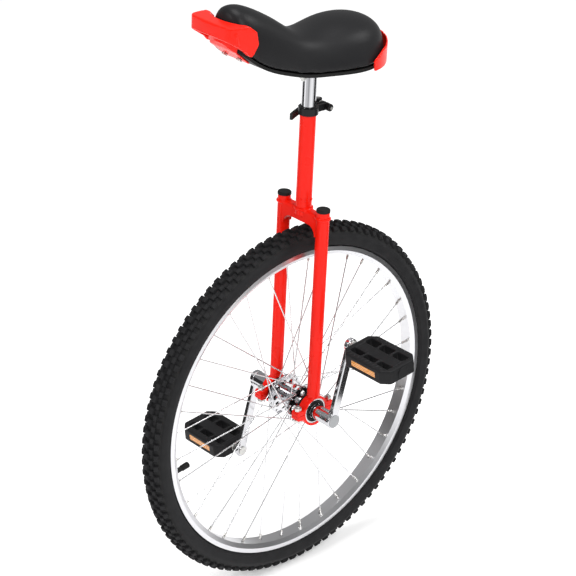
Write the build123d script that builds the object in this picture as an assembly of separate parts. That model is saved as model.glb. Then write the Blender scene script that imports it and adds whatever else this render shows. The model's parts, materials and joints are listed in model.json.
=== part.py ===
from build123d import *
import os
from math import cos, radians, sin, sqrt

os.makedirs("parts", exist_ok=True)

# A square-crown unicycle with a 24 x 1.75 wheel.  Millimetres, degrees.
# +X is forward (the saddle's handle), +Y is left, +Z is up.
# The origin is on the ground under the axle.

# ---------------------------------------------------------------- driving dimensions
# tyre and rim
wheel_radius = 300.0
tyre_width = 47.0
tyre_height = 46.5          # bead seat to the top of the tread
tread_depth = 4.5
tyre_wall = 3.0
tube_wall = 1.2
rim_width = 30.0
rim_wall = 2.0
rim_hook = 8.5              # rim edge above the bead seat
rim_well = 3.5              # bead seat above the rim's floor
rim_floor_width = 22.0
rim_tape_thickness = 0.7

# spokes and valve
spoke_count = 36
spoke_crosses = 3
spoke_radius = 1.0
spoke_bend = 1.5
nipple_radius = 2.0
nipple_length = 12.0
nipple_head_radius = 3.0
nipple_head_height = 1.6
rim_stagger = 1.5           # spoke holes left and right of the rim's centre
valve_angle = -11.5         # from straight ahead, about the axle
valve_radius = 3.9
valve_length = 27.0         # stem standing out of the rim
valve_cap_radius = 4.9
valve_cap_length = 14.0

# hub and bearings
flange_spacing = 44.0
flange_radius = 33.5
flange_thickness = 3.0
spoke_circle_radius = 30.0
lightening_holes = 9
lightening_hole_radius = 4.6
lightening_circle_radius = 21.2
barrel_radius = 13.0
collar_radius = 16.0
collar_length = 6.5
axle_radius = 10.0
bearing_spacing = 88.0      # centre to centre, which also sets the legs' spacing
bearing_outer_radius = 21.0
bearing_width = 12.0
race_thickness = 2.4
ball_count = 9
shield_radius = 24.0
shield_thickness = 3.0

# cranks and pedals
crank_length = 127.0
crank_angle = 13.7          # the left crank leans back from upright
crank_thickness = 9.0
crank_boss_radius = 12.6
crank_face = 94.0           # outer face of the crank arm, from the middle plane
crank_eye_radius = 10.8
crank_waist = 14.5
crank_shoulder = 18.0       # rounding where the arm widens to its ends
crank_edge = 1.8
taper_square = 12.7
bolt_head_radius = 7.0
cap_radius = 10.3
cap_thickness = 2.5
pedal_length = 101.0
pedal_width = 70.0
pedal_height = 23.6
pedal_corner_along = 13.0
pedal_corner_across = 11.0
pedal_tilt = 8.0            # the front edge hangs lower
pedal_gap = 9.0             # crank face to pedal body
pedal_rail = 12.0
pedal_end_wall = 9.0
pedal_barrel_radius = 10.5
pedal_bush_radius = 8.0
pedal_spindle_radius = 5.5
pedal_thread_radius = 7.0
reflector_length = 51.0
reflector_height = 9.0
reflector_depth = 3.0

# frame
leg_radius = 10.2
leg_wall = 1.6
leg_above_crown = 7.0
plug_height = 5.0
plug_lip = 0.6              # plug's edge outside the leg
crown_clearance = 11.0      # tyre to the crown's underside
crown_height = 20.0
crown_thickness = 18.0
crown_arch = 15.0
crown_edge = 4.0
seat_tube_radius = 12.4
seat_tube_length = 169.0
housing_width = 14.0
housing_wall = 4.0
housing_split = 1.0
ear_reach = 38.0
ear_height = 8.0
cap_bolt_radius = 3.0
rivet_radius = 2.6
rivet_angles = (22.5, 67.5, 112.5, 225.0)

# seat post and its clamp
post_radius = 11.1
post_wall = 2.0
post_exposed = 58.0         # between the clamp and the seat bracket
post_inserted = 138.0
clamp_wall = 3.0
clamp_height = 12.0
clamp_lip = 4.0             # stands above the seat tube's end
clamp_slot = 3.0
ear_thickness = 4.5
skewer_radius = 2.5
skewer_offset = 32.0        # behind the seat tube's centre
cam_radius = 6.3
cam_height = 15.0
nut_radius = 5.8
lever_reach = 50.0
lever_thickness = 4.5
lever_height = 10.0
lever_drop = 14.0

# saddle
saddle_length = 305.0
saddle_width = 142.0
saddle_tail = 130.0         # tail behind the seat post
base_thickness = 5.0
base_inset = 4.0            # base's edge inside the cushion's edge
bracket_length = 74.0
bracket_width = 50.0
bracket_thickness = 3.0
bracket_bolt_radius = 3.0
handle_reach = 24.0         # in front of the saddle's nose
handle_width = 92.0
handle_wall = 4.0
bumper_height = 28.0
bumper_wrap = 69.0          # length of saddle that the rear bumper covers
bumper_skin = 4.5
bumper_gap = 1.0            # bumpers to the cushion's side
screw_radius = 2.2
screw_length = 12.0
screw_half = 16.0           # screws left and right of the middle
screw_shares = (0.060, 0.920)  # along the saddle, one pair at each bumper

# clearances
running_fit = 0.05          # radial, shafts and slides
seat_fit = 0.03             # radial, pieces pressed or clamped together
free_gap = 0.3              # between curved faces that only lie side by side
hole_gap = 0.3              # radial, bolts and spokes in their holes
spoke_clearance = 0.4       # spoke to the face of the flange

# ---------------------------------------------------------------- derived places
axle_height = wheel_radius
bead_radius = wheel_radius - tyre_height
rim_edge = bead_radius + rim_hook
rim_floor = bead_radius - rim_well
rim_inside = rim_floor - rim_wall
bearing_y = bearing_spacing / 2
flange_y = flange_spacing / 2
crown_bottom = 2 * wheel_radius + crown_clearance
crown_top = crown_bottom + crown_height
seat_tube_bottom = crown_bottom + crown_height / 2
seat_tube_top = seat_tube_bottom + seat_tube_length
clamp_top = seat_tube_top + clamp_lip
clamp_middle = clamp_top - clamp_height / 2
bracket_bottom = clamp_top + post_exposed
bracket_top = bracket_bottom + bracket_thickness
saddle_height = bracket_top + 2.0
housing_radius = bearing_outer_radius + housing_wall
pedal_start = crank_face + pedal_gap

axle_axis = Axis((0, 0, axle_height), (0, 1, 0))
wheel_section = Plane(origin=(0, 0, axle_height), x_dir=(0, 1, 0), z_dir=(1, 0, 0))


# ---------------------------------------------------------------- helpers
def rod_y(radius, start, end, x=0.0, z=axle_height):
    """A cylinder along Y from start to end."""
    low, high = sorted((start, end))
    return Pos(x, (low + high) / 2, z) * Rot(90, 0, 0) * Cylinder(radius, high - low)


def rod_z(radius, bottom, top, x=0.0, y=0.0):
    """A cylinder along Z from bottom to top."""
    return Pos(x, y, (bottom + top) / 2) * Cylinder(radius, top - bottom)


def tube_y(outer, inner, start, end, x=0.0, z=axle_height):
    return rod_y(outer, start, end, x, z) - rod_y(inner, start - 1, end + 1, x, z)


def tube_z(outer, inner, bottom, top, x=0.0, y=0.0):
    return rod_z(outer, bottom, top, x, y) - rod_z(inner, bottom - 1, top + 1, x, y)


def block(low, high):
    """A box from its lowest to its highest corner."""
    size = [b - a for a, b in zip(low, high)]
    middle = [(a + b) / 2 for a, b in zip(low, high)]
    return Pos(*middle) * Box(*size)


def hex_z(across_flats, bottom, top, x=0.0, y=0.0):
    outline = Pos(x, y, bottom) * RegularPolygon(across_flats / sqrt(3), 6)
    return extrude(outline, top - bottom, dir=(0, 0, 1))


def wheel_spin(face):
    """Revolves a face in (y, radius) coordinates about the axle."""
    return revolve(wheel_section * face, axle_axis, 360)


def wheel_point(radius, angle, y):
    """A point at a radius and an angle from straight ahead, counted towards up."""
    turn = radians(angle)
    return Vector(radius * cos(turn), y, axle_height + radius * sin(turn))


def rod_between(start, end, radius):
    start = Vector(start)
    end = Vector(end)
    return extrude(Plane(start, z_dir=end - start) * Circle(radius), (end - start).length)


def largest(shape):
    """The main solid, without the crumbs that a cut can leave."""
    return max(shape.solids(), key=lambda solid: solid.volume)


def to_right(shape):
    return mirror(shape, about=Plane.XZ)


# ---------------------------------------------------------------- tyre, tube and rim
bead_half = rim_width / 2 - rim_wall - free_gap
mouth_half = bead_half - tyre_wall
cavity_top = wheel_radius - tread_depth - tyre_wall
cavity_bottom = rim_edge + 2.0
cavity_middle = (cavity_top + cavity_bottom) / 2
cavity_rise = (cavity_top - cavity_bottom) / 2
cavity_half = tyre_width / 2 - tyre_wall


def make_tyre():
    half = tyre_width / 2
    widest = bead_radius + tyre_height / 2
    shoulder = (half - 8.0, wheel_radius - 1.6)
    wall = TangentArc((half, widest), (bead_half, rim_edge + free_gap), tangent=(0, -1))
    cheek = TangentArc((half, widest), shoulder, tangent=(0, 1))
    side = [Line((bead_half, bead_radius), (bead_half, rim_edge + free_gap)), wall, cheek]
    tread = ThreePointArc(shoulder, (0, wheel_radius), (-shoulder[0], shoulder[1]))
    other_side = [mirror(edge, about=Plane.YZ) for edge in side]
    foot = Line((-bead_half, bead_radius), (bead_half, bead_radius))
    section = make_face(side + [tread] + other_side + [foot])
    cavity = Pos(0, cavity_middle) * Ellipse(cavity_half, cavity_rise)
    mouth_height = cavity_bottom - bead_radius + 6.0
    mouth = Pos(0, bead_radius + mouth_height / 2 - 1.0) * Rectangle(2 * mouth_half, mouth_height)
    return wheel_spin(section - cavity - mouth)


def make_inner_tube():
    outer = Ellipse(cavity_half - free_gap, cavity_rise - free_gap)
    inner = Ellipse(cavity_half - free_gap - tube_wall, cavity_rise - free_gap - tube_wall)
    return wheel_spin(Pos(0, cavity_middle) * (outer - inner))


def rim_holes():
    """Radial drillings for the nipples and the valve."""
    holes = [
        rod_between(wheel_point(rim_inside - 4, angle, y), wheel_point(rim_floor + 4, angle, y),
                    nipple_radius + hole_gap)
        for angle, y in rim_places()
    ]
    holes.append(valve_rod(valve_radius + hole_gap, rim_inside - 4, rim_floor + 4))
    return holes


def make_rim():
    half = rim_width / 2
    inner = half - rim_wall
    shoulder = mouth_half + 0.4
    floor = rim_floor_width / 2
    right = [
        (half, rim_edge),
        (half, bead_radius + 1.5),
        (floor, rim_inside),
    ]
    left = [(-y, r) for y, r in reversed(right)]
    channel = [
        (-inner, rim_edge),
        (-inner, bead_radius - 0.05),
        (-shoulder, bead_radius - 0.05),
        (-shoulder + 1.2, rim_floor),
        (shoulder - 1.2, rim_floor),
        (shoulder, bead_radius - 0.05),
        (inner, bead_radius - 0.05),
        (inner, rim_edge),
    ]
    section = make_face(Polyline(*right, *left, *channel, close=True))
    return wheel_spin(section) - rim_holes()


def make_rim_tape():
    inner = rim_floor + nipple_head_height + 1.2
    half = mouth_half - 1.4
    ring = Pos(0, inner + rim_tape_thickness / 2) * Rectangle(2 * half, rim_tape_thickness)
    return wheel_spin(ring) - valve_rod(valve_radius + hole_gap, inner - 2, inner + 4)


def valve_rod(radius, inner, outer):
    return rod_between(wheel_point(inner, valve_angle, 0), wheel_point(outer, valve_angle, 0), radius)


def make_valve_stem():
    tip = rim_inside - valve_length
    stem = valve_rod(valve_radius, tip + 3, cavity_bottom + 0.2)
    return stem + valve_rod(valve_radius - 1.2, tip, tip + 4)


def make_valve_cap():
    tip = rim_inside - valve_length - 1.5
    cap = valve_rod(valve_cap_radius, tip, tip + valve_cap_length)
    cap = chamfer(cap.edges().filter_by(GeomType.CIRCLE), 0.8)
    cap -= valve_rod(valve_radius + seat_fit, tip + 4.5, tip + valve_cap_length + 1)
    return cap - valve_rod(valve_radius - 1.2 + seat_fit, tip + 1.5, tip + 6)


# ---------------------------------------------------------------- spokes
hole_step = 360 / spoke_count
lacing_start = valve_angle + hole_step / 2
crossing_angle = spoke_crosses * 2 * hole_step


def lacing():
    """Yields (side, flange angle, rim angle, head outside) for every spoke."""
    for index in range(spoke_count):
        side = 1 if index % 2 == 0 else -1
        pulling = (index // 2) % 2 == 0
        flange_angle = lacing_start + index * hole_step
        rim_angle = flange_angle + (crossing_angle if pulling else -crossing_angle)
        yield side, flange_angle, rim_angle, pulling


def rim_places():
    return [(rim_angle, side * rim_stagger) for side, _, rim_angle, _ in lacing()]


def spoke_line(side, flange_angle, rim_angle, head_outside):
    """The spoke's bend beside the flange and its end at the rim."""
    beside = flange_thickness / 2 + spoke_radius + spoke_clearance
    bend_y = side * (flange_y - beside if head_outside else flange_y + beside)
    bend = wheel_point(spoke_circle_radius, flange_angle, bend_y)
    end = wheel_point(rim_floor, rim_angle, side * rim_stagger)
    return bend, end


def make_spokes():
    spokes = []
    for side, flange_angle, rim_angle, head_outside in lacing():
        bend, end = spoke_line(side, flange_angle, rim_angle, head_outside)
        reach = flange_thickness + spoke_radius + 2 * spoke_clearance + 0.7
        head_y = bend.Y + side * (reach if head_outside else -reach)
        head = wheel_point(spoke_circle_radius, flange_angle, head_y)
        along = (end - bend).normalized()
        path = FilletPolyline(head, bend, end - along * 4.0, radius=spoke_bend)
        wire = sweep(Plane(head, z_dir=bend - head) * Circle(spoke_radius), path)
        inward = (bend - head).normalized()
        button = rod_between(head - inward * 0.2, head + inward * 0.7, spoke_radius + 0.75)
        spokes.append((wire + button).solid())
    return Compound(spokes)


def make_nipples():
    nipples = []
    for side, flange_angle, rim_angle, head_outside in lacing():
        bend, end = spoke_line(side, flange_angle, rim_angle, head_outside)
        along = (end - bend).normalized()
        seat = end + along * 0.8
        head = rod_between(seat, seat + along * nipple_head_height, nipple_head_radius)
        shank = rod_between(seat - along * nipple_length, seat, nipple_radius)
        bore = rod_between(end - along * (nipple_length + 4), end - along * 3.8, spoke_radius + seat_fit)
        nipples.append((head + shank - bore).solid())
    return Compound(nipples)


# ---------------------------------------------------------------- hub, axle and bearings
collar_end = flange_y + flange_thickness / 2 + collar_length
bearing_start = bearing_y - bearing_width / 2
bearing_end = bearing_y + bearing_width / 2
boss_start = bearing_end + 2.0
taper_end = crank_face - 10.0


def make_hub_shell():
    body = rod_y(barrel_radius, -flange_y, flange_y)
    body += rod_y(collar_radius, flange_y, collar_end)
    body += rod_y(collar_radius, -collar_end, -flange_y)
    for side in (1, -1):
        inner = side * (flange_y - flange_thickness / 2)
        outer = side * (flange_y + flange_thickness / 2)
        body += rod_y(flange_radius, inner, outer)
    body -= rod_y(axle_radius + seat_fit, -collar_end - 1, collar_end + 1)
    cutters = []
    for side in (1, -1):
        inner = side * (flange_y - flange_thickness)
        outer = side * (flange_y + flange_thickness)
        for index in range(lightening_holes):
            place = wheel_point(lightening_circle_radius, index * 360 / lightening_holes, 0)
            cutters.append(rod_y(lightening_hole_radius, inner, outer, place.X, place.Z))
    for side, flange_angle, _, _ in lacing():
        place = wheel_point(spoke_circle_radius, flange_angle, 0)
        inner = side * (flange_y - flange_thickness)
        outer = side * (flange_y + flange_thickness)
        cutters.append(rod_y(spoke_radius + hole_gap, inner, outer, place.X, place.Z))
    return body - cutters


def make_axle():
    axle = rod_y(axle_radius, -boss_start, boss_start)
    for side in (1, -1):
        end_face = Plane((0, side * boss_start, axle_height), x_dir=(1, 0, 0), z_dir=(0, side, 0))
        square = end_face * Rectangle(taper_square, taper_square)
        axle += extrude(square, taper_end - boss_start)
        axle -= rod_y(cap_bolt_radius + 1, side * (taper_end - 24), side * (taper_end + 1))
    return axle.rotate(axle_axis, -crank_angle)


def make_left_spacer():
    return tube_y(axle_radius + 2.6, axle_radius + seat_fit, collar_end, bearing_start)


def make_left_shield():
    middle = (collar_end + bearing_y - housing_width / 2) / 2
    inner = axle_radius + 2.6 + seat_fit
    disc = tube_y(shield_radius, inner, middle - shield_thickness / 2, middle + shield_thickness / 2)
    face = middle + shield_thickness / 2
    groove = tube_y(shield_radius - 3, inner + 4, face - 1, face + 1)
    return disc - groove


inner_race_radius = axle_radius + race_thickness
outer_race_inside = bearing_outer_radius - race_thickness
ball_circle = (inner_race_radius + outer_race_inside) / 2
ball_radius = (outer_race_inside - inner_race_radius) / 2 - 0.1


def make_left_inner_race():
    return tube_y(inner_race_radius, axle_radius + seat_fit, bearing_start, bearing_end)


def make_left_outer_race():
    return tube_y(bearing_outer_radius, outer_race_inside, bearing_start, bearing_end)


def make_left_balls():
    balls = []
    for index in range(ball_count):
        place = wheel_point(ball_circle, index * 360 / ball_count, bearing_y)
        balls.append((Pos(place) * Sphere(ball_radius)).solid())
    return Compound(balls)


# ---------------------------------------------------------------- cranks
def crank_arm():
    """The left arm pointing straight up from the axle, before it is turned."""
    arm_plane = Plane((0, crank_face, 0), x_dir=(1, 0, 0), z_dir=(0, -1, 0))
    eye_height = axle_height + crank_length
    outline = Pos(0, axle_height) * Circle(crank_boss_radius)
    outline += Pos(0, eye_height) * Circle(crank_eye_radius)
    outline += Pos(0, axle_height + crank_length / 2) * Rectangle(crank_waist, crank_length)
    outline = outline.face()
    shoulders = [v for v in outline.vertices() if abs(abs(v.X) - crank_waist / 2) < 0.01]
    outline = fillet(shoulders, crank_shoulder)
    arm = extrude(arm_plane * outline, crank_thickness)
    return fillet(arm.faces().filter_by(Axis.Y).edges(), crank_edge)


def upright_crank():
    barrel_end = crank_face - crank_thickness + crank_edge + 1.0
    arm = crank_arm() + rod_y(crank_boss_radius - 0.5, boss_start, barrel_end)
    square_plane = Plane((0, boss_start - 1, axle_height), x_dir=(1, 0, 0), z_dir=(0, 1, 0))
    socket = taper_square + 2 * seat_fit
    arm -= extrude(square_plane * Rectangle(socket, socket), taper_end + 2 - boss_start)
    arm -= rod_y(cap_radius - 1.0, taper_end, crank_face + 1)
    eye_height = axle_height + crank_length
    eye_bore = pedal_thread_radius + seat_fit
    return arm - rod_y(eye_bore, crank_face - 20, crank_face + 1, 0, eye_height)


def make_left_crank():
    return turned_to_crank(upright_crank(), 1)


def turned_to_crank(shape, side):
    """Turns a piece built on the upright left crank to the left or right crank's place."""
    if side > 0:
        return shape.rotate(axle_axis, -crank_angle)
    return to_right(shape).rotate(axle_axis, 180 - crank_angle)


def make_right_crank():
    return turned_to_crank(upright_crank(), -1)


def make_crank_bolts():
    bolts = []
    for side in (1, -1):
        head = hex_prism_y(2 * bolt_head_radius * 0.9, side * taper_end, side * (taper_end + 5.5))
        shank = rod_y(cap_bolt_radius + 1 - seat_fit, side * (taper_end - 22), side * taper_end)
        washer = rod_y(bolt_head_radius + 2, side * taper_end, side * (taper_end + 1.2))
        bolts.append((head + shank + washer).solid())
    return Compound(bolts)


def hex_prism_y(across_flats, start, end, x=0.0, z=axle_height):
    low, high = sorted((start, end))
    plane = Plane((x, low, z), x_dir=(1, 0, 0), z_dir=(0, 1, 0))
    return extrude(plane * RegularPolygon(across_flats / sqrt(3), 6), high - low)


def make_crank_caps():
    caps = []
    for side in (1, -1):
        outer = side * (crank_face + 1.0)
        disc = rod_y(cap_radius, side * (crank_face + 0.02), outer)
        plug_outer = cap_radius - 1.0 - seat_fit
        plug = tube_y(plug_outer, cap_radius - 3.0, crank_face - cap_thickness, crank_face + 0.5)
        if side < 0:
            plug = to_right(plug)
        caps.append((disc + plug).solid())
    return Compound(caps)


# ---------------------------------------------------------------- pedals
def pedal_place(side):
    """The spindle's x and z."""
    lean = radians(crank_angle)
    return (-side * crank_length * sin(lean), axle_height + side * crank_length * cos(lean))


boss_inner = pedal_start - 2.5


def pedal_spindle():
    """Built along +Y at x = z = 0 and moved to its crank later."""
    flats_end = boss_inner - 0.5
    thread = rod_y(pedal_thread_radius, crank_face - crank_thickness - 1.5, crank_face, 0, 0)
    shoulder = rod_y(pedal_thread_radius + 1.5, crank_face, crank_face + 2, 0, 0)
    flats = hex_prism_y(15.0, crank_face + 2, flats_end, 0, 0)
    shaft_end = pedal_start + pedal_length - 14
    shaft = rod_y(pedal_spindle_radius, flats_end, shaft_end, 0, 0)
    return thread + shoulder + flats + shaft


def place_pedal(shape, side):
    x, z = pedal_place(side)
    if side < 0:
        shape = to_right(shape)
    if isinstance(shape, Compound) and len(shape.solids()) > 1:
        return Compound([(Pos(x, 0, z) * solid) for solid in shape.solids()])
    return Pos(x, 0, z) * shape


def tilted(shape):
    return shape.rotate(Axis.Y, pedal_tilt)


def pedal_outline():
    half_x = pedal_width / 2
    start = pedal_start
    end = pedal_start + pedal_length
    return make_face(Polyline(
        (half_x, start + pedal_corner_along),
        (half_x, end - pedal_corner_along),
        (half_x - pedal_corner_across, end),
        (pedal_corner_across - half_x, end),
        (-half_x, end - pedal_corner_along),
        (-half_x, start + pedal_corner_along),
        (pedal_corner_across - half_x, start),
        (half_x - pedal_corner_across, start),
        close=True,
    ))


def pedal_body():
    half_z = pedal_height / 2
    half_x = pedal_width / 2
    middle = pedal_start + pedal_length / 2
    body = extrude(Pos(0, 0, -half_z) * pedal_outline(), pedal_height, dir=(0, 0, 1))
    body = fillet(body.edges().filter_by(Axis.Z), 2.5)
    body = chamfer(body.faces().filter_by(Axis.Z).edges(), 1.5)
    slot_from = pedal_barrel_radius
    slot_to = half_x - pedal_rail
    slot_start = pedal_start + pedal_end_wall
    slot_end = pedal_start + pedal_length - pedal_end_wall
    rib = 4.0
    bays = 3
    bay = (slot_end - slot_start - (bays - 1) * rib) / bays
    for side in (1, -1):
        for index in range(bays):
            y = slot_start + index * (bay + rib)
            low_x, high_x = sorted((side * slot_from, side * slot_to))
            body -= block((low_x, y, -half_z - 1), (high_x, y + bay, half_z + 1))
        face_x = side * half_x
        low_x, high_x = sorted((face_x + side, face_x - side * reflector_depth))
        reach = reflector_length / 2 + 0.1
        rise = reflector_height / 2 + 0.1
        body -= block((low_x, middle - reach, -rise), (high_x, middle + reach, rise))
    for face in (1, -1):
        waist = block(
            (-pedal_barrel_radius - 0.5, slot_start, face * half_z - 2.0),
            (pedal_barrel_radius + 0.5, slot_end, face * half_z + 2.0),
        )
        body -= waist
    boss = rod_y(pedal_bush_radius + 1.2, boss_inner, pedal_start + 2, 0, 0)
    body += boss
    body -= rod_y(pedal_bush_radius, pedal_start - 5, pedal_start + pedal_length + 5, 0, 0)
    return body


def pedal_bushes():
    inner = pedal_spindle_radius + running_fit
    near = tube_y(pedal_bush_radius, inner, boss_inner, pedal_start + 14, 0, 0)
    end = pedal_start + pedal_length - 15
    far = tube_y(pedal_bush_radius, inner, end - 14, end, 0, 0)
    return Compound([near.solid(), far.solid()])


def pedal_dust_cap():
    end = pedal_start + pedal_length
    plug = rod_y(pedal_bush_radius - seat_fit, end - 6, end, 0, 0)
    lid = rod_y(pedal_bush_radius + 1.5, end, end + 1.5, 0, 0)
    return chamfer((plug + lid).edges().group_by(Axis.Y)[-1], 0.6)


def pedal_reflectors():
    middle = pedal_start + pedal_length / 2
    half_x = pedal_width / 2
    lenses = []
    for side in (1, -1):
        low_x, high_x = sorted((side * (half_x - 0.4), side * (half_x - reflector_depth)))
        lens = block(
            (low_x, middle - reflector_length / 2, -reflector_height / 2),
            (high_x, middle + reflector_length / 2, reflector_height / 2),
        )
        lenses.append(lens.solid())
    return Compound(lenses)


# ---------------------------------------------------------------- frame
def make_left_leg():
    top = crown_top + leg_above_crown
    leg = tube_z(leg_radius, leg_radius - leg_wall, axle_height, top, 0, bearing_y)
    return leg - rod_y(housing_radius, bearing_y - leg_radius - 1, bearing_y + leg_radius + 1)


def make_left_leg_plug():
    top = crown_top + leg_above_crown
    cap = rod_z(leg_radius + plug_lip, top, top + plug_height, 0, bearing_y)
    cap = fillet(cap.edges().group_by(Axis.Z)[-1], 2.0)
    return cap + rod_z(leg_radius - leg_wall - seat_fit, top - 12, top + 1, 0, bearing_y)


def make_crown():
    """A bar between the legs, arched underneath, with the seat tube let into its top."""
    inner_leg = bearing_y - leg_radius + 1.0
    down = crown_bottom - crown_arch - 1.0
    outline = [
        (inner_leg, down),
        (inner_leg, crown_bottom),
        (-inner_leg, crown_bottom),
        (-inner_leg, down),
        (-bearing_y, down),
        (-bearing_y, crown_top),
        (bearing_y, crown_top),
        (bearing_y, down),
    ]
    face = make_face(Polyline(*outline, close=True))
    arch = [v for v in face.vertices() if abs(v.Y - crown_bottom) < 0.01 and abs(v.X) < bearing_y]
    face = fillet(arch, crown_arch)
    upright = Plane((crown_thickness / 2, 0, 0), x_dir=(0, 1, 0), z_dir=(1, 0, 0))
    crown = extrude(upright * face, -crown_thickness)
    top_edges = crown.faces().sort_by(Axis.Z)[-1].edges().filter_by(Axis.Y)
    crown = fillet(top_edges, crown_edge)
    for y in (bearing_y, -bearing_y):
        crown -= rod_z(leg_radius, down - 5, crown_top + 5, 0, y)
    crown -= rod_z(seat_tube_radius, seat_tube_bottom, crown_top + 5)
    return largest(crown)


def make_seat_tube():
    return tube_z(seat_tube_radius, post_radius + running_fit, seat_tube_bottom, seat_tube_top)


def make_crown_rivets():
    """Domed plug rivets through the seat tube just above the crown."""
    rivets = []
    height = crown_top + 15.5
    for angle in rivet_angles:
        turn = radians(angle)
        reach = seat_tube_radius + 1.2
        tip = Vector(reach * cos(turn), reach * sin(turn), height)
        foot = Vector((reach - 1.5) * cos(turn), (reach - 1.5) * sin(turn), height)
        dome = rod_between(foot, tip, rivet_radius)
        dome = fillet(dome.edges().filter_by(GeomType.CIRCLE).sort_by_distance(tip)[0], 0.8)
        rivets.append((dome - rod_z(seat_tube_radius, height - 8, height + 8)).solid())
    return Compound(rivets)


def housing_ring():
    ears = RectangleRounded(2 * ear_reach, 2 * ear_height, 4.0)
    outline = Circle(housing_radius) + ears - Circle(bearing_outer_radius + seat_fit)
    plane = Plane(
        (0, bearing_y + housing_width / 2, axle_height), x_dir=(1, 0, 0), z_dir=(0, -1, 0)
    )
    ring = extrude(plane * outline, housing_width)
    for x in (bolt_x, -bolt_x):
        ring -= rod_z(cap_bolt_radius + hole_gap, axle_height - 20, axle_height + 20, x, bearing_y)
    return ring


bolt_x = (housing_radius + ear_reach) / 2


def make_left_housing():
    reach = ear_reach + 5
    split = axle_height + housing_split / 2
    upper = block((-reach, 0, split), (reach, bearing_spacing, axle_height + reach))
    return (housing_ring() & upper).solid()


def make_left_bearing_cap():
    reach = ear_reach + 5
    split = axle_height - housing_split / 2
    lower = block((-reach, 0, axle_height - reach), (reach, bearing_spacing, split))
    return (housing_ring() & lower).solid()


def make_cap_bolts():
    bolts = []
    bottom = axle_height - ear_height
    for side in (1, -1):
        for x in (bolt_x, -bolt_x):
            head = hex_z(10.0, bottom - 4.0, bottom, x, side * bearing_y)
            shank = rod_z(cap_bolt_radius, bottom - 1, axle_height + ear_height + 7.5, x, side * bearing_y)
            bolts.append((head + shank).solid())
    return Compound(bolts)


def make_cap_nuts():
    nuts = []
    bottom = axle_height + ear_height
    for side in (1, -1):
        for x in (bolt_x, -bolt_x):
            nut = hex_z(10.0, bottom, bottom + 5.0, x, side * bearing_y)
            nut -= rod_z(cap_bolt_radius + seat_fit, bottom - 1, bottom + 6, x, side * bearing_y)
            nuts.append(nut.solid())
    return Compound(nuts)


# ---------------------------------------------------------------- seat clamp and lever
clamp_radius = seat_tube_radius + clamp_wall
clamp_bottom = clamp_top - clamp_height
ear_outside = clamp_slot / 2 + ear_thickness
cam_y = -(ear_outside + 1.5 + cam_radius + 0.2)


def make_clamp_collar():
    ring = rod_z(clamp_radius, clamp_bottom, clamp_top)
    collar = chamfer(ring.edges().group_by(Axis.Z)[-1], 0.8)
    ear_end = skewer_offset + 6.5
    ear_tall = clamp_height - 1.5
    outline = RectangleRounded(ear_end, ear_tall, 0.42 * ear_tall)
    plane = Plane((-ear_end / 2, ear_outside, clamp_middle), x_dir=(1, 0, 0), z_dir=(0, -1, 0))
    collar += extrude(plane * outline, 2 * ear_outside)
    collar -= rod_z(seat_tube_radius + seat_fit, clamp_bottom - 1, seat_tube_top)
    collar -= rod_z(post_radius + free_gap, clamp_bottom, clamp_top + 1)
    half_slot = clamp_slot / 2
    collar -= block((-ear_end - 5, -half_slot, clamp_bottom - 1), (0, half_slot, clamp_top + 1))
    return collar - rod_y(skewer_radius + hole_gap, -20, 20, -skewer_offset, clamp_middle)


def make_clamp_skewer():
    eye_height = cam_height - 8.0
    rod = rod_y(skewer_radius, cam_y + 3, ear_outside + 11, -skewer_offset, clamp_middle)
    half_eye = eye_height / 2 - 0.3
    low = clamp_middle - half_eye
    high = clamp_middle + half_eye
    eye = rod_z(4.6, low, high, -skewer_offset, cam_y)
    bore = rod_z(skewer_radius + running_fit, low - 5, high + 5, -skewer_offset, cam_y)
    return rod + eye - bore


def make_clamp_nut():
    start = ear_outside
    nut = rod_y(nut_radius, start, start + 9.0, -skewer_offset, clamp_middle)
    nut = fillet(nut.edges().group_by(Axis.Y)[-1], 1.5)
    return nut - rod_y(skewer_radius + seat_fit, start - 1, start + 12, -skewer_offset, clamp_middle)


def make_cam_washer():
    inner = skewer_radius + hole_gap
    return tube_y(5.8, inner, -ear_outside - 1.5, -ear_outside, -skewer_offset, clamp_middle)


def make_cam_pin():
    top = clamp_middle + cam_height / 2 + 0.8
    bottom = clamp_middle - cam_height / 2 - 0.8
    return rod_z(skewer_radius, bottom, top, -skewer_offset, cam_y)


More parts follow.
